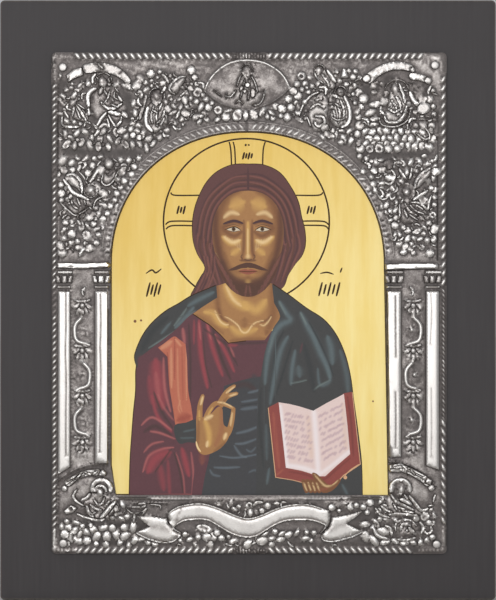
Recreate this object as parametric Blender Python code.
# An icon under a silver cover: a dark painted board, a painted picture sheet seen through an
# arched window, and one embossed silver cover held to the board by four round-headed nails.
#
# The icon hangs upright. x runs across it, z up it and y into the wall: the board's back lies on
# y = 0 and the picture faces -y. The origin is the middle of the board's back. Lengths below are
# in millimetres, and "lift" is how far forward of the board's back a surface stands.

import math

import bmesh
import bpy
import numpy as np
from mathutils import Vector
from mathutils.geometry import delaunay_2d_cdt

MM = 0.001
TOUCH = 0.3                     # air left between pieces that touch

# Board
BOARD_WIDTH = 248.0
BOARD_HEIGHT = 300.0
BOARD_THICKNESS = 20.0
BOARD_CORNER = 2.3
BOARD_EASE = 0.9                # rounding of the long edges

# Picture sheet behind the window
PICTURE_HALF_WIDTH = 76.0
PICTURE_TOP = 92.0
PICTURE_BOTTOM = -104.0
PICTURE_THICKNESS = 0.8
BED_CORNER = 0.5                # corner of the recess it lies in

# Silver cover
COVER_WIDTH = 197.0
COVER_HEIGHT = 250.0
COVER_X = 0.5                   # the cover sits a little right of and below the board's middle
COVER_Z = -1.5
COVER_CORNER = 2.4
SHEET = 0.8                     # flat sheet in front of the picture
LEFT, RIGHT = COVER_X - COVER_WIDTH / 2, COVER_X + COVER_WIDTH / 2
FOOT, HEAD = COVER_Z - COVER_HEIGHT / 2, COVER_Z + COVER_HEIGHT / 2

# Window: upright jambs under a slightly squared arch
WINDOW_LEFT = -68.5
WINDOW_RIGHT = 68.3
JAMB_SPREAD = 2.0               # the right jamb leans out by this much at its foot
WINDOW_FOOT = -97.3
CORNER_CUT = (2.6, 14.8)        # the lower left corner is cut across, width and height
ARCH_SPRING = 17.5
ARCH_RISE = 66.5
ARCH_POWER = 2.12               # 2 would be a plain ellipse

# Depths, as lifts
BOARD_FRONT = BOARD_THICKNESS
PICTURE_BACK = BOARD_FRONT + TOUCH
PICTURE_FRONT = PICTURE_BACK + PICTURE_THICKNESS
COVER_BACK = BOARD_FRONT + TOUCH
RECESS_FLOOR = PICTURE_FRONT + TOUCH
GROUND = RECESS_FLOOR + SHEET   # flat face of the silver, which the relief rises from

# Nails, each a little off square as hammered
NAILS = {
    "nail_upper_left": (-92.3, 116.0),
    "nail_upper_right": (93.2, 117.0),
    "nail_lower_left": (-92.1, -121.3),
    "nail_lower_right": (94.0, -121.8),
}
NAIL_HEAD = 2.0
NAIL_DOME = 0.9
NAIL_RIM = 0.25                 # height of the head's upright edge
NAIL_SHANK = 0.6
NAIL_HOLE = NAIL_SHANK + TOUCH
NAIL_DEPTH = 7.0                # how far the shank goes into the board
NAIL_SIDES = 12

# Heights of the relief above the flat sheet
ROPE_HEIGHT = 1.3
BEAD_HEIGHT = 1.1
COLUMN_HEIGHT = 1.8
ABACUS_HEIGHT = 2.2
LEAF_HEIGHT = 1.7
FIGURE_HEIGHT = 2.4
HEAD_HEIGHT = 2.9
SCROLL_HEIGHT = 2.1
RIBBON_HEIGHT = 2.4

# Rope along the cover's edge
ROPE_INSET = 1.7
ROPE_RADIUS = 1.35
ROPE_PITCH = 3.35
ROPE_LEAN = 0.9                 # run of a strand along the rope for each unit across it
ROPE_PLAIN = 9.5                # bare length at each corner

# Bead band round the arch
BAND_START = 0.9
BAND_WIDTH = 3.3
BEAD_PITCH = 3.5

# Columns: (left edge, right edge, foot, flute line)
SHAFTS = [
    (-94.8, -88.7, -84.0, -90.7),
    (-76.1, -70.3, -81.3, -73.4),
    (69.6, 76.1, -79.0, 73.4),
    (88.6, 95.2, -84.2, 91.1),
]
SHAFT_TOP = 4.7
NECK = (6.1, 7.3)
CAPITAL = (8.4, 12.2)
FILLET = (13.1, 14.7)
ABACUS = (15.6, 18.6)
ABACUS_SPANS = [(-95.0, -69.4), (69.2, 95.0)]

# Vine panels between the columns
VINE_CENTRES = [-82.4, 82.3]
VINE_SPREAD = 3.1
VINE_TOP = -3.2
VINE_PITCH = 22.6
VINE_ROSETTES = 4

# Lunette over the arch, closed below by a swagged sill
LUNETTE = (-0.4, 97.4, 22.0)    # centre x, centre z, radius
LUNETTE_SWEEP = (24, 159)
LUNETTE_SILL = [(-20.5, 6.6), (-13.0, 1.6), (0.0, -1.8), (12.0, 1.0), (19.6, 8.0)]

# Corner scrolls: centre x, centre z, radius, first and last angle
SCROLLS = [
    (-74.3, 96.8, 19.6, 41, 140),
    (75.8, 97.4, 18.9, 30, 142),
    (-76.0, -108.4, 22.0, 74, 133),
    (75.0, -102.6, 18.6, 27, 98),
]
SCROLL_RADIUS = 1.7

# Figures in the field: x and z of the hem, height, and which way each one faces or leans
SEATED_FIGURES = [
    (-73.6, 86.6, 27.0, 1),
    (75.0, 86.6, 26.5, -1),
    (-78.0, -111.5, 22.5, -1),
    (80.0, -111.5, 22.0, 1),
]
STANDING_FIGURES = [
    (-45.0, 87.0, 19.5, 0.0),
    (47.2, 87.3, 21.0, -0.06),
    (40.8, 97.5, 21.5, -0.28),
    (31.6, 86.0, 14.0, 0.1),
]
ANGELS = [(-77.9, 54.1, 26.0, -1), (78.9, 53.7, 26.0, 1)]
CHILD_HEAD = (-69.3, 67.2)
CHILD_ARMS = [(-72.6, 62.0), (-69.0, 58.2), (-64.6, 65.2)]
BIRDS = [(-36.7, 105.8, 4.2), (-41.6, 110.4, 2.9), (-31.0, 109.0, 2.8)]

# Rows of berries: the line each follows and the size of its berries
BERRY_ROWS = [
    ([(-28.8, 115.5), (-25.0, 104.0), (-17.0, 95.5), (0.0, 91.5)], 1.9),
    ([(27.0, 113.0), (21.5, 101.5), (14.0, 94.5), (0.0, 91.5)], 1.9),
    ([(-90.8, 82.0), (-78.0, 80.5), (-60.0, 80.5)], 2.1),
    ([(60.0, 78.5), (75.0, 80.0), (90.5, 81.0)], 2.1),
    ([(-93.0, -114.5), (-80.0, -116.5), (-60.5, -115.0)], 2.0),
    ([(62.0, -113.0), (76.0, -116.5), (91.0, -110.0)], 2.0),
]

# Loose leaves between them
LEAF_SEED = 7
LEAF_SPACING = 4.8
LEAF_ROWS = 60
LEAF_COLUMNS = 42

# Ribbon under the picture
RIBBON_MID = -109.8
RIBBON_SWING = 4.0
RIBBON_WAVE = 48.5
RIBBON_HALF_LENGTH = 37.5
RIBBON_HALF_WIDTH = 4.1
TAIL_REACH = 18.5

# Ground grid that carries the relief, and the share of its faces that is kept
GRID = 0.72
KEPT_FACES = 0.079


def remove_everything():
    for item in list(bpy.data.objects):
        bpy.data.objects.remove(item, do_unlink=True)


def finish(name, colour, roughness, metallic):
    material = bpy.data.materials.new(name)
    material.use_nodes = True
    shader = material.node_tree.nodes["Principled BSDF"]
    shader.inputs["Base Color"].default_value = (*colour, 1.0)
    shader.inputs["Roughness"].default_value = roughness
    shader.inputs["Metallic"].default_value = metallic
    return material


def add_object(name, shape, material):
    shape.normal_update()
    mesh = bpy.data.meshes.new(name)
    shape.to_mesh(mesh)
    shape.free()
    mesh.materials.append(material)
    made = bpy.data.objects.new(name, mesh)
    bpy.context.scene.collection.objects.link(made)
    return made


def at(x, z, lift):
    # A point of the icon in world metres.
    return Vector((x * MM, -lift * MM, z * MM))


def rounded_rectangle(left, right, foot, head, radius, steps=4):
    corners = [(right, head, 0), (left, head, 90), (left, foot, 180), (right, foot, 270)]
    outline = []
    for x, z, start in corners:
        centre_x = x - math.copysign(radius, x - (left + right) / 2)
        centre_z = z - math.copysign(radius, z - (foot + head) / 2)
        for step in range(steps + 1):
            angle = math.radians(start + 90 * step / steps)
            outline.append((centre_x + radius * math.cos(angle), centre_z + radius * math.sin(angle)))
    return outline


def circle(x, z, radius, sides):
    turns = [2 * math.pi * (side + 0.5) / sides for side in range(sides)]
    return [(x + radius * math.cos(turn), z + radius * math.sin(turn)) for turn in turns]


def window_outline(steps=44):
    middle = (WINDOW_LEFT + WINDOW_RIGHT) / 2
    half = (WINDOW_RIGHT - WINDOW_LEFT) / 2
    outline = []
    for step in range(steps + 1):
        angle = math.pi * step / steps
        across = math.copysign(abs(math.cos(angle)) ** (2 / ARCH_POWER), math.cos(angle))
        rise = math.sin(angle) ** (2 / ARCH_POWER)
        outline.append((middle + half * across, ARCH_SPRING + ARCH_RISE * rise))
    cut_width, cut_height = CORNER_CUT
    outline.append((WINDOW_LEFT, WINDOW_FOOT + cut_height))
    outline.append((WINDOW_LEFT + cut_width, WINDOW_FOOT))
    outline.append((WINDOW_RIGHT + JAMB_SPREAD, WINDOW_FOOT))
    return outline


def inside(x, z, outline):
    # Even-odd test of many points against one outline.
    found = np.zeros(x.shape, bool)
    ends = outline[1:] + outline[:1]
    for (x0, z0), (x1, z1) in zip(outline, ends):
        if z0 == z1:
            continue
        crosses = (z0 > z) != (z1 > z)
        found ^= crosses & (x < (x1 - x0) * (z - z0) / (z1 - z0) + x0)
    return found


def distance_to(x, z, outline):
    best = np.full(x.shape, np.inf)
    ends = outline[1:] + outline[:1]
    for (x0, z0), (x1, z1) in zip(outline, ends):
        run_x, run_z = x1 - x0, z1 - z0
        share = ((x - x0) * run_x + (z - z0) * run_z) / (run_x**2 + run_z**2)
        share = np.clip(share, 0, 1)
        best = np.minimum(best, np.hypot(x - x0 - share * run_x, z - z0 - share * run_z))
    return best


def smooth_path(points, steps=6):
    # Catmull-Rom curve through a few points.
    knots = [points[0], *points, points[-1]]
    path = []
    for before, start, end, after in zip(knots, knots[1:], knots[2:], knots[3:]):
        b, s, e, a = (np.array(knot) for knot in (before, start, end, after))
        for step in range(steps):
            t = step / steps
            bend = (2 * b - 5 * s + 4 * e - a) * t**2 + (3 * s - b - 3 * e + a) * t**3
            path.append(tuple((0.5 * (2 * s + (e - b) * t + bend)).tolist()))
    path.append(points[-1])
    return path


class Relief:
    # The height of the embossing at each sample point (x, z) of the sheet. Each form is a small
    # rounded body, and where forms meet the higher one shows.

    def __init__(self, x, z):
        self.x = x
        self.z = z
        self.height = np.zeros(x.shape)
        self.taken = []         # discs (x, z, radius) that leaves keep clear of

    def near(self, left, right, foot, head):
        across = (self.x > left) & (self.x < right)
        return np.flatnonzero(across & (self.z > foot) & (self.z < head))

    def raise_to(self, where, height):
        self.height[where] = np.maximum(self.height[where], height)

    def lobe(self, x, z, long, wide, angle, height):
        reach = max(long, wide)
        where = self.near(x - reach, x + reach, z - reach, z + reach)
        cos, sin = math.cos(angle), math.sin(angle)
        along = ((self.x[where] - x) * cos + (self.z[where] - z) * sin) / long
        across = ((self.z[where] - z) * cos - (self.x[where] - x) * sin) / wide
        self.raise_to(where, height * np.sqrt(np.clip(1 - along**2 - across**2, 0, 1)))
        self.taken.append((x, z, (long + wide) / 2))

    def ridge(self, points, radius, height, taper=0.6):
        path = np.array(smooth_path(points))
        last = len(path) - 2
        for index, ((x0, z0), (x1, z1)) in enumerate(zip(path, path[1:])):
            middle = abs(2 * (index + 0.5) / (last + 1) - 1)
            wide = radius * (1 - (1 - taper) * middle**2)
            where = self.near(
                min(x0, x1) - wide, max(x0, x1) + wide, min(z0, z1) - wide, max(z0, z1) + wide
            )
            away = distance_to(self.x[where], self.z[where], [(x0, z0), (x1, z1)])
            self.raise_to(where, height * np.sqrt(np.clip(1 - (away / wide) ** 2, 0, 1)))
            self.taken.append(((x0 + x1) / 2, (z0 + z1) / 2, wide))

    def ring(self, x, z, radius, half_width, height):
        reach = radius + half_width
        where = self.near(x - reach, x + reach, z - reach, z + reach)
        away = np.hypot(self.x[where] - x, self.z[where] - z)
        self.raise_to(where, height * np.sqrt(np.clip(1 - ((away - radius) / half_width) ** 2, 0, 1)))
        self.raise_to(where, np.where(away < radius, height * 0.45, 0))
        self.taken.append((x, z, reach))

    def bar(self, left, right, foot, head, height, crown):
        # A straight moulding, flat for crown = 0 and half-round across its width for crown = 1.
        where = self.near(left, right, foot, head)
        across = np.minimum(self.z[where] - foot, head - self.z[where]) / ((head - foot) / 2)
        self.raise_to(where, height * (1 - crown + crown * np.sqrt(1 - (1 - np.clip(across, 0, 1)) ** 2)))


def lay_rope(relief):
    # Top, bottom, left and right: distance along the side from its middle, distance out across the
    # rope, half the side's length and the turn of the strands.
    sides = [
        (relief.x - COVER_X, relief.z - (HEAD - ROPE_INSET), COVER_WIDTH / 2, -1, 1),
        (relief.x - COVER_X, relief.z - (FOOT + ROPE_INSET), COVER_WIDTH / 2, 1, -1),
        (relief.z - COVER_Z, relief.x - (LEFT + ROPE_INSET), COVER_HEIGHT / 2, -1, -1),
        (relief.z - COVER_Z, relief.x - (RIGHT - ROPE_INSET), COVER_HEIGHT / 2, 1, 1),
    ]
    for along, across, half_length, turn, outward in sides:
        # The strands lean away from the middle of each side, one way on each half.
        slant = along * np.sign(along) * turn + across * ROPE_LEAN
        strand = np.abs(np.cos(math.pi * slant / ROPE_PITCH)) ** 0.7
        round_over = np.sqrt(np.clip(1 - (across / ROPE_RADIUS) ** 2, 0, 1))
        on_rope = np.abs(along) < half_length - ROPE_PLAIN
        rim = 0.5 * np.sqrt(np.clip(1 - ((across * outward - 0.4) / 0.6) ** 2, 0, 1))
        rope = ROPE_HEIGHT * round_over * (0.25 + 0.75 * strand)
        relief.height = np.maximum(relief.height, np.where(on_rope, rope, rim))


def lay_bead_band(relief, window):
    away = distance_to(relief.x, relief.z, window)
    above = relief.z > ARCH_SPRING + 1
    turn = np.arctan2(relief.z - ARCH_SPRING, relief.x)
    along = turn * (WINDOW_RIGHT + BAND_START + BAND_WIDTH / 2)
    across = (away - BAND_START) / BAND_WIDTH * 2 - 1
    bead = np.abs(np.cos(math.pi * (along + 0.7 * across) / BEAD_PITCH)) ** 0.8
    profile = np.sqrt(np.clip(1 - across**2, 0, 1))
    relief.raise_to(slice(None), np.where(above, BEAD_HEIGHT * profile * (0.2 + 0.8 * bead), 0))
    # A plain raised lip keeps the edge of the window stiff.
    lip = np.sqrt(np.clip(1 - ((away - 0.35) / 0.6) ** 2, 0, 1))
    relief.raise_to(slice(None), 0.5 * lip)


def lay_columns(relief):
    for left, right, foot, flute in SHAFTS:
        where = relief.near(left, right, foot, SHAFT_TOP)
        across = np.clip(2 * (relief.x[where] - left) / (right - left) - 1, -1, 1)
        height = COLUMN_HEIGHT * (1 - across**4) ** 0.5
        height -= 0.9 * np.exp(-(((relief.x[where] - flute) / 0.45) ** 2))
        relief.raise_to(where, height)
        middle, half = (left + right) / 2, (right - left) / 2
        relief.bar(left - 0.3, right + 0.3, *NECK, COLUMN_HEIGHT * 0.9, 0.6)
        relief.bar(left - 0.6, right + 0.6, *FILLET, COLUMN_HEIGHT, 0.6)
        # Three upright leaves fan out to make the capital.
        for leaf in (-1, 0, 1):
            base = (middle + leaf * half * 0.55, CAPITAL[0])
            tip = (middle + leaf * half * 0.85, CAPITAL[1])
            relief.ridge([base, tip], 1.1, COLUMN_HEIGHT, 0.9)
        relief.taken.append((middle, (SHAFT_TOP + ABACUS[1]) / 2, 6))
    for left, right in ABACUS_SPANS:
        relief.bar(left, right, *ABACUS, ABACUS_HEIGHT, 0.5)


def lay_vines(relief):
    for side, centre in zip((-1, 1), VINE_CENTRES):
        for number in range(VINE_ROSETTES):
            middle = VINE_TOP - VINE_PITCH * number
            for leaf in range(6):
                angle = math.radians(60 * leaf + 30)
                reach_x, reach_z = 2.1 * math.cos(angle), 2.6 * math.sin(angle)
                relief.lobe(centre + reach_x, middle + reach_z, 1.7, 0.85, angle, LEAF_HEIGHT)
            if number == VINE_ROSETTES - 1:
                continue
            # The stem swings out to alternate sides between one rosette and the next.
            swing = side * VINE_SPREAD * (1 if number % 2 == 0 else -1)
            top, low = middle - 4.6, middle - VINE_PITCH + 4.6
            stem = [
                (centre + swing * 0.2, top),
                (centre + swing, (top + low) / 2),
                (centre + swing * 0.2, low),
            ]
            relief.ridge(stem, 0.75, LEAF_HEIGHT * 0.8)
            relief.lobe(centre - swing * 0.2, (top + low) / 2, 1.6, 1.2, 0.6, LEAF_HEIGHT * 0.6)


def arc(x, z, radius, first, last, steps=8):
    turns = np.radians(np.linspace(first, last, steps + 1))
    return [(x + radius * math.cos(turn), z + radius * math.sin(turn)) for turn in turns]


def lay_lunette(relief):
    x, z, radius = LUNETTE
    relief.ridge(arc(x, z, radius, *LUNETTE_SWEEP, 12), 0.95, 1.3, 0.9)
    relief.ridge([(x + across, z + up) for across, up in LUNETTE_SILL], 0.8, 0.9)
    where = relief.near(x - radius, x + radius, z - 1.8, z + radius)
    sunk = np.hypot(relief.x[where] - x, relief.z[where] - z) < radius - 0.5
    relief.raise_to(where, np.where(sunk, 0.35, 0))
    # The half figure: halo, head, sloping shoulders and two open arms.
    relief.ring(x, z + 16.6, 4.0, 0.6, 1.4)
    relief.lobe(x, z + 16.0, 2.0, 2.6, 0, HEAD_HEIGHT)
    relief.ridge([(x, z + 12.6), (x, z + 3.0)], 3.2, FIGURE_HEIGHT * 0.9, 0.95)
    for side in (-1, 1):
        sleeve = [(x + side * 1.4, z + 12.0), (x + side * 5.0, z + 8.4), (x + side * 6.2, z + 3.2)]
        relief.ridge(sleeve, 1.5, FIGURE_HEIGHT)
        relief.ridge([(x + side * 5.4, z + 6.8), (x + side * 10.4, z + 4.2)], 1.2, FIGURE_HEIGHT * 0.8)
        relief.ridge([(x + side * 8.0, z + 4.6), (x + side * 4.0, z + 0.2)], 0.9, FIGURE_HEIGHT * 0.7)
    relief.taken.append((x, z + 8, 16.5))


def placed(points, x, z, size, facing):
    return [(x + facing * size * across, z + size * up) for across, up in points]


def seated_figure(relief, x, z, size, facing):
    # A robed, bearded and haloed writer bent over a book. x, z is the middle of the hem, and size
    # the height to the top of the halo.
    def fold(points, radius, height):
        relief.ridge(placed(points, x, z, size, facing), radius * size, height)

    (head_x, head_z), (book_x, book_z) = placed([(0.02, 0.79), (0.50, 0.47)], x, z, size, facing)
    relief.ring(head_x, head_z, 0.17 * size, 0.026 * size, 1.2)
    relief.lobe(head_x, head_z, 0.085 * size, 0.115 * size, 0, HEAD_HEIGHT)
    relief.lobe(head_x, head_z - 0.11 * size, 0.06 * size, 0.09 * size, 0, HEAD_HEIGHT * 0.85)
    fold([(-0.06, 0.66), (-0.25, 0.55), (-0.25, 0.30)], 0.075, FIGURE_HEIGHT)
    fold([(0.02, 0.58), (0.0, 0.30)], 0.10, FIGURE_HEIGHT * 0.75)
    fold([(0.10, 0.62), (0.24, 0.50), (0.42, 0.46)], 0.06, FIGURE_HEIGHT)
    fold([(-0.24, 0.28), (0.08, 0.26), (0.36, 0.36)], 0.07, FIGURE_HEIGHT)
    for number in range(4):
        across = -0.24 + 0.17 * number
        fold([(across * 0.7 + 0.04, 0.24), (across, 0.03)], 0.048, FIGURE_HEIGHT * 0.85)
    fold([(-0.34, 0.0), (0.04, -0.03), (0.42, 0.05)], 0.04, FIGURE_HEIGHT * 0.6)
    relief.lobe(book_x, book_z, 0.13 * size, 0.08 * size, 0.5 * facing, FIGURE_HEIGHT * 0.9)
    relief.taken.append((x, z + size * 0.45, size * 0.42))


def standing_figure(relief, x, z, size, lean):
    # A narrow robed and haloed figure seen from the front. x, z is the middle of its hem, and lean
    # is how far its head goes to the right for each unit up.
    def leant(points):
        return placed([(across + lean * up, up) for across, up in points], x, z, size, 1)

    head_x, head_z = leant([(0.0, 0.80)])[0]
    relief.ring(head_x, head_z, 0.17 * size, 0.03 * size, 1.1)
    relief.lobe(head_x, head_z, 0.09 * size, 0.12 * size, 0, HEAD_HEIGHT * 0.85)
    for number in range(4):
        across = -0.21 + 0.14 * number
        robe = leant([(across * 0.5, 0.62), (across, 0.35), (across * 1.2, 0.02)])
        relief.ridge(robe, 0.065 * size, FIGURE_HEIGHT * 0.8)
    arms = leant([(-0.2, 0.48), (0.05, 0.42), (0.24, 0.52)])
    relief.ridge(arms, 0.055 * size, FIGURE_HEIGHT)
    middle_x, middle_z = leant([(0.0, 0.45)])[0]
    relief.taken.append((middle_x, middle_z, size * 0.3))


def angel(relief, x, z, size, facing):
    # A flying haloed figure. x, z is the middle of its head, its robe trails the way it faces away
    # from, and two fans of feathers rise from its shoulders.
    shoulder_z = z - 0.12 * size
    for first, last, reach, feathers in [(96, 156, 0.56, 4), (46, 76, 0.46, 3)]:
        for feather in range(feathers):
            angle = math.radians(first + (last - first) * feather / (feathers - 1))
            bend = angle + 0.22 if feather else angle
            start = (x - facing * 0.05 * size, shoulder_z)
            middle = (
                x - facing * 0.55 * reach * size * math.cos(bend),
                shoulder_z + 0.55 * reach * size * math.sin(bend),
            )
            tip = (
                x - facing * reach * size * math.cos(angle),
                shoulder_z + reach * size * math.sin(angle),
            )
            relief.ridge([start, middle, tip], 0.06 * size, FIGURE_HEIGHT * 0.8, 0.75)
    relief.ring(x, z, 0.15 * size, 0.03 * size, 1.6)
    relief.lobe(x, z, 0.09 * size, 0.105 * size, 0, HEAD_HEIGHT)
    for number in range(4):
        drop = 0.20 + 0.09 * number
        path = [(0.0, -0.14), (0.14, -0.12 - drop * 0.6), (0.50 - 0.10 * number, -drop)]
        relief.ridge(placed(path, x, z, size, facing), 0.055 * size, FIGURE_HEIGHT * 0.85)
    arm = placed([(-0.02, -0.16), (-0.16, -0.26), (-0.32, -0.16)], x, z, size, facing)
    relief.ridge(arm, 0.05 * size, FIGURE_HEIGHT)
    relief.taken.append((x + facing * 0.08 * size, z - 0.02 * size, size * 0.36))
    relief.taken.append((x + facing * 0.26 * size, z + 0.22 * size, size * 0.24))


def lay_figures(relief):
    for place in SEATED_FIGURES:
        seated_figure(relief, *place)
    for place in STANDING_FIGURES:
        standing_figure(relief, *place)
    for place in ANGELS:
        angel(relief, *place)
    # A child's head with its arms looks over the left angel, and three birds sit in the branches.
    relief.lobe(*CHILD_HEAD, 2.6, 3.0, 0.2, HEAD_HEIGHT * 0.9)
    relief.ridge(CHILD_ARMS, 1.1, FIGURE_HEIGHT * 0.8)
    for x, z, long in BIRDS:
        relief.lobe(x, z, long, long * 0.48, 1.05, FIGURE_HEIGHT)


def lay_scrolls(relief):
    for x, z, radius, first, last in SCROLLS:
        path = arc(x, z, radius, first, last, 8)
        relief.ridge(path, SCROLL_RADIUS, SCROLL_HEIGHT, 0.95)
        for end in (path[0], path[-1]):
            relief.lobe(*end, 1.9, 1.6, 0, SCROLL_HEIGHT)


def ribbon_height(x):
    return RIBBON_MID - RIBBON_SWING * np.cos(2 * math.pi * x / RIBBON_WAVE)


def lay_ribbon(relief):
    where = relief.near(-RIBBON_HALF_LENGTH, RIBBON_HALF_LENGTH, RIBBON_MID - 10, RIBBON_MID + 10)
    across = np.abs(relief.z[where] - ribbon_height(relief.x[where])) / RIBBON_HALF_WIDTH
    body = np.where(across < 1, RIBBON_HEIGHT * (0.82 + 0.18 * across**2), 0)
    relief.raise_to(where, body)
    # Each end turns back under itself and hangs out as a forked tail.
    for side in (-1, 1):
        fold = side * RIBBON_HALF_LENGTH
        root = ribbon_height(RIBBON_HALF_LENGTH)
        relief.ridge([(fold, root - 6.5), (fold - side * 3.6, root - 3.8)], 1.8, RIBBON_HEIGHT * 0.8)
        tail = [
            (fold, root + 2.2),
            (fold + side * TAIL_REACH, root + 3.8),
            (fold + side * TAIL_REACH * 0.45, root - 2.2),
            (fold + side * TAIL_REACH, root - 5.6),
            (fold + side * TAIL_REACH * 0.4, root - 9.6),
            (fold - side * 1.5, root - 8.4),
        ]
        near = relief.near(-60, 60, root - 14, root + 8)
        on_tail = inside(relief.x[near], relief.z[near], tail)
        relief.raise_to(near, np.where(on_tail, RIBBON_HEIGHT * 0.72, 0))
        for step in range(5):
            relief.taken.append((fold + side * 4 * step, root - 3, 6.0))
    for x in range(-38, 39, 4):
        relief.taken.append((x, float(ribbon_height(x)), RIBBON_HALF_WIDTH + 0.6))
    rail = WINDOW_FOOT - 1.4
    relief.bar(WINDOW_LEFT + 4, WINDOW_RIGHT, rail - 0.7, rail + 0.7, 0.9, 0.8)


def berry_row(relief, points, size):
    path = smooth_path(points, 24)
    gone = 0.0
    turn = 0
    for (x0, z0), (x1, z1) in zip(path, path[1:]):
        gone += math.hypot(x1 - x0, z1 - z0)
        if gone >= size * 2.15:
            gone = 0.0
            turn += 1
            swell = 1 + 0.18 * math.sin(2.4 * turn)
            aside = 0.45 * size * (-1) ** turn
            heading = math.atan2(z1 - z0, x1 - x0)
            x, z = x1 - aside * math.sin(heading), z1 + aside * math.cos(heading)
            relief.lobe(x, z, size * swell, size * 0.8, heading + 0.9 * (-1) ** turn, LEAF_HEIGHT)


def lay_berries(relief):
    for points, size in BERRY_ROWS:
        berry_row(relief, points, size)


def lay_leaves(relief, window):
    # Leaves fill what is left of the field, on a jittered grid, and keep clear of everything else.
    chance = np.random.default_rng(LEAF_SEED)
    for row in range(LEAF_ROWS):
        for column in range(LEAF_COLUMNS):
            across, up, spin, grow = chance.random(4)
            x = LEFT + 5 + LEAF_SPACING * (column + 0.5 * (row % 2)) + 0.9 * (across - 0.5)
            z = FOOT + 5.4 + LEAF_SPACING * 0.87 * row + 0.9 * (up - 0.5)
            long = 1.9 + 0.7 * grow
            if abs(x - COVER_X) > COVER_WIDTH / 2 - 4.8 or z > HEAD - 8:
                continue
            if -86 < z < ABACUS[1] + 3 or (z < 0 and abs(x) < 60 and grow < 0.4):
                continue
            spot = np.array([x]), np.array([z])
            border = distance_to(*spot, window)[0]
            if inside(*spot, window)[0] or border < BAND_START + BAND_WIDTH + long * 0.7:
                continue
            if any(math.hypot(x - a, z - b) < r + long * 0.75 for a, b, r in relief.taken):
                continue
            relief.lobe(x, z, long, long * 0.62, math.pi * spin, LEAF_HEIGHT * (0.8 + 0.2 * grow))


def relief_heights(x, z, window):
    relief = Relief(x, z)
    lay_rope(relief)
    lay_columns(relief)
    lay_vines(relief)
    lay_lunette(relief)
    lay_scrolls(relief)
    lay_figures(relief)
    lay_ribbon(relief)
    lay_berries(relief)
    for nail_x, nail_z in NAILS.values():
        relief.taken.append((nail_x, nail_z, NAIL_HEAD + 1.4))
    lay_leaves(relief, window)
    # The window's border is pressed last, over whatever reaches it.
    border = distance_to(x, z, window)
    beyond_band = np.clip((border - BAND_START - BAND_WIDTH) / 0.6 + 1, 0, 1)
    relief.height *= np.where(z > ARCH_SPRING, beyond_band, 1)
    relief.height *= np.clip((border - 0.4) / 0.8, 0, 1)
    lay_bead_band(relief, window)
    for nail_x, nail_z in NAILS.values():
        away = np.hypot(x - nail_x, z - nail_z)
        relief.height *= np.clip((away - NAIL_HEAD - 1.0) / 0.6, 0, 1)
    return relief.height


def block(outline, back, front):
    shape = bmesh.new()
    face = shape.faces.new([shape.verts.new(at(x, z, back)) for x, z in outline])
    grown = bmesh.ops.extrude_face_region(shape, geom=[face])
    moved = [item for item in grown["geom"] if isinstance(item, bmesh.types.BMVert)]
    bmesh.ops.translate(shape, verts=moved, vec=at(0, 0, front - back))
    bmesh.ops.recalc_face_normals(shape, faces=shape.faces)
    return shape


def drill_for_nails(piece):
    # One cutter for each nail goes through the cover and on into the board.
    for name, (x, z) in NAILS.items():
        cutter = bpy.data.objects.get(name + "_cutter")
        if cutter is None:
            foot = BOARD_FRONT - NAIL_DEPTH - TOUCH
            hole = block(circle(x, z, NAIL_HOLE, NAIL_SIDES), foot, GROUND + 5)
            cutter = add_object(name + "_cutter", hole, piece.data.materials[0])
            cutter.hide_render = True
            cutter.display_type = "WIRE"
        cut = piece.modifiers.new(name + " hole", "BOOLEAN")
        cut.operation = "DIFFERENCE"
        cut.object = cutter


def make_board():
    outline = rounded_rectangle(
        -BOARD_WIDTH / 2, BOARD_WIDTH / 2, -BOARD_HEIGHT / 2, BOARD_HEIGHT / 2, BOARD_CORNER
    )
    dark_paint = finish("painted_wood", (0.070, 0.062, 0.063), 0.55, 0.0)
    board = add_object("board", block(outline, 0.0, BOARD_FRONT), dark_paint)
    ease = board.modifiers.new("eased edges", "BEVEL")
    ease.width = BOARD_EASE * MM
    ease.segments = 2
    ease.limit_method = "ANGLE"
    ease.angle_limit = math.radians(60)
    drill_for_nails(board)


def make_picture():
    outline = [
        (-PICTURE_HALF_WIDTH, PICTURE_BOTTOM),
        (PICTURE_HALF_WIDTH, PICTURE_BOTTOM),
        (PICTURE_HALF_WIDTH, PICTURE_TOP),
        (-PICTURE_HALF_WIDTH, PICTURE_TOP),
    ]
    gilt = finish("painted_picture", (0.80, 0.60, 0.22), 0.4, 0.0)
    add_object("picture_sheet", block(outline, PICTURE_BACK, PICTURE_FRONT), gilt)


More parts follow.
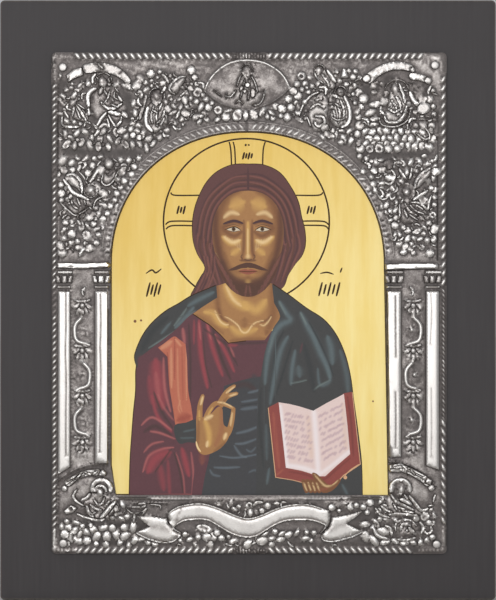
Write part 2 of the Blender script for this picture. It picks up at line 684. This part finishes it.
def make_nails():
    silver = finish("nail_silver", (0.78, 0.76, 0.74), 0.35, 1.0)
    seat = GROUND + TOUCH
    turns = [math.radians(step) for step in (0, 30, 60, 90)]
    profile = [
        (NAIL_HEAD * math.sin(turn), seat + NAIL_RIM + (NAIL_DOME - NAIL_RIM) * math.cos(turn))
        for turn in turns
    ]
    profile += [(NAIL_HEAD, seat), (NAIL_SHANK, seat), (NAIL_SHANK, BOARD_FRONT - NAIL_DEPTH + 1)]
    profile += [(0, BOARD_FRONT - NAIL_DEPTH)]
    for name, (x, z) in NAILS.items():
        shape = bmesh.new()
        verts = [shape.verts.new(at(radius, 0, lift)) for radius, lift in profile]
        edges = [shape.edges.new(pair) for pair in zip(verts, verts[1:])]
        bmesh.ops.spin(
            shape, geom=verts + edges, axis=(0, 1, 0), cent=(0, 0, 0),
            steps=NAIL_SIDES, angle=2 * math.pi,
        )
        bmesh.ops.remove_doubles(shape, verts=shape.verts, dist=1e-6)
        bmesh.ops.translate(shape, verts=shape.verts, vec=at(x, z, 0))
        bmesh.ops.recalc_face_normals(shape, faces=shape.faces)
        nail = add_object(name, shape, silver)
        nail.data.shade_smooth()
        nail.data.set_sharp_from_angle(angle=math.radians(50))


def add_sheet(shape, loops, points, keep, lift_of):
    # Triangles over the loops and the loose points, kept where keep says, with each vertex lifted
    # by lift_of. It returns the loops' own vertices, in order.
    flat = [point for loop in loops for point in loop]
    edges = []
    start = 0
    for loop in loops:
        count = len(loop)
        edges += [(start + index, start + (index + 1) % count) for index in range(count)]
        start += count
    flat += points
    made, _, faces, sources, _, _ = delaunay_2d_cdt([Vector(point) for point in flat], edges, [], 0, 1e-6)
    places = np.array([tuple(point) for point in made])
    corners = np.array(faces)
    middle = places[corners].mean(axis=1)
    corners = corners[keep(middle[:, 0], middle[:, 1])]
    lifts = lift_of(places[:, 0], places[:, 1])
    used = set(corners.ravel().tolist())
    verts = {index: shape.verts.new(at(*places[index], lifts[index])) for index in sorted(used)}
    for face in corners.tolist():
        shape.faces.new([verts[index] for index in face])
    new_index = {source: index for index, group in enumerate(sources) for source in group}
    rims = []
    start = 0
    for loop in loops:
        rims.append([verts[new_index[start + index]] for index in range(len(loop))])
        start += len(loop)
    return rims


def add_wall(shape, upper, lower):
    for index in range(len(upper)):
        after = (index + 1) % len(upper)
        shape.faces.new([upper[index], upper[after], lower[after], lower[index]])


def spaced(outline, step):
    # The same outline with points no further apart than step.
    dense = []
    for (x0, z0), (x1, z1) in zip(outline, outline[1:] + outline[:1]):
        parts = max(1, math.ceil(math.hypot(x1 - x0, z1 - z0) / step))
        for part in range(parts):
            dense.append((x0 + (x1 - x0) * part / parts, z0 + (z1 - z0) * part / parts))
    return dense


def make_cover():
    edge = spaced(rounded_rectangle(LEFT, RIGHT, FOOT, HEAD, COVER_CORNER), 2.4)
    window = spaced(window_outline(), 2.4)
    bed_half = PICTURE_HALF_WIDTH + TOUCH
    bed = rounded_rectangle(
        -bed_half, bed_half, PICTURE_BOTTOM - TOUCH, PICTURE_TOP + TOUCH, BED_CORNER, 1
    )

    def on_silver(x, z):
        return inside(x, z, edge) & ~inside(x, z, window)

    across = np.arange(LEFT + GRID / 2, RIGHT, GRID)
    up = np.arange(FOOT + GRID / 2, HEAD, GRID)
    x, z = (axis.ravel() for axis in np.meshgrid(across, up))
    clear = on_silver(x, z)
    for outline in [edge, window]:
        clear &= distance_to(x, z, outline) > GRID * 0.55
    points = list(zip(x[clear].tolist(), z[clear].tolist()))

    shape = bmesh.new()
    front = add_sheet(
        shape, [edge, window], points, on_silver,
        lambda x, z: GROUND + relief_heights(x, z, window),
    )
    back = add_sheet(
        shape, [edge, bed], [], lambda x, z: ~inside(x, z, bed),
        lambda x, z: np.full(x.shape, COVER_BACK),
    )
    floor = add_sheet(
        shape, [bed, window], [], lambda x, z: ~inside(x, z, window),
        lambda x, z: np.full(x.shape, RECESS_FLOOR),
    )
    add_wall(shape, front[0], back[0])
    add_wall(shape, front[1], floor[1])
    add_wall(shape, back[1], floor[0])
    bmesh.ops.recalc_face_normals(shape, faces=shape.faces)
    silver = finish("oxidised_silver", (0.72, 0.70, 0.69), 0.35, 1.0)
    cover = add_object("silver_cover", shape, silver)
    fewer = cover.modifiers.new("fewer faces", "DECIMATE")
    fewer.ratio = KEPT_FACES
    drill_for_nails(cover)


remove_everything()
make_board()
make_picture()
make_cover()
make_nails()
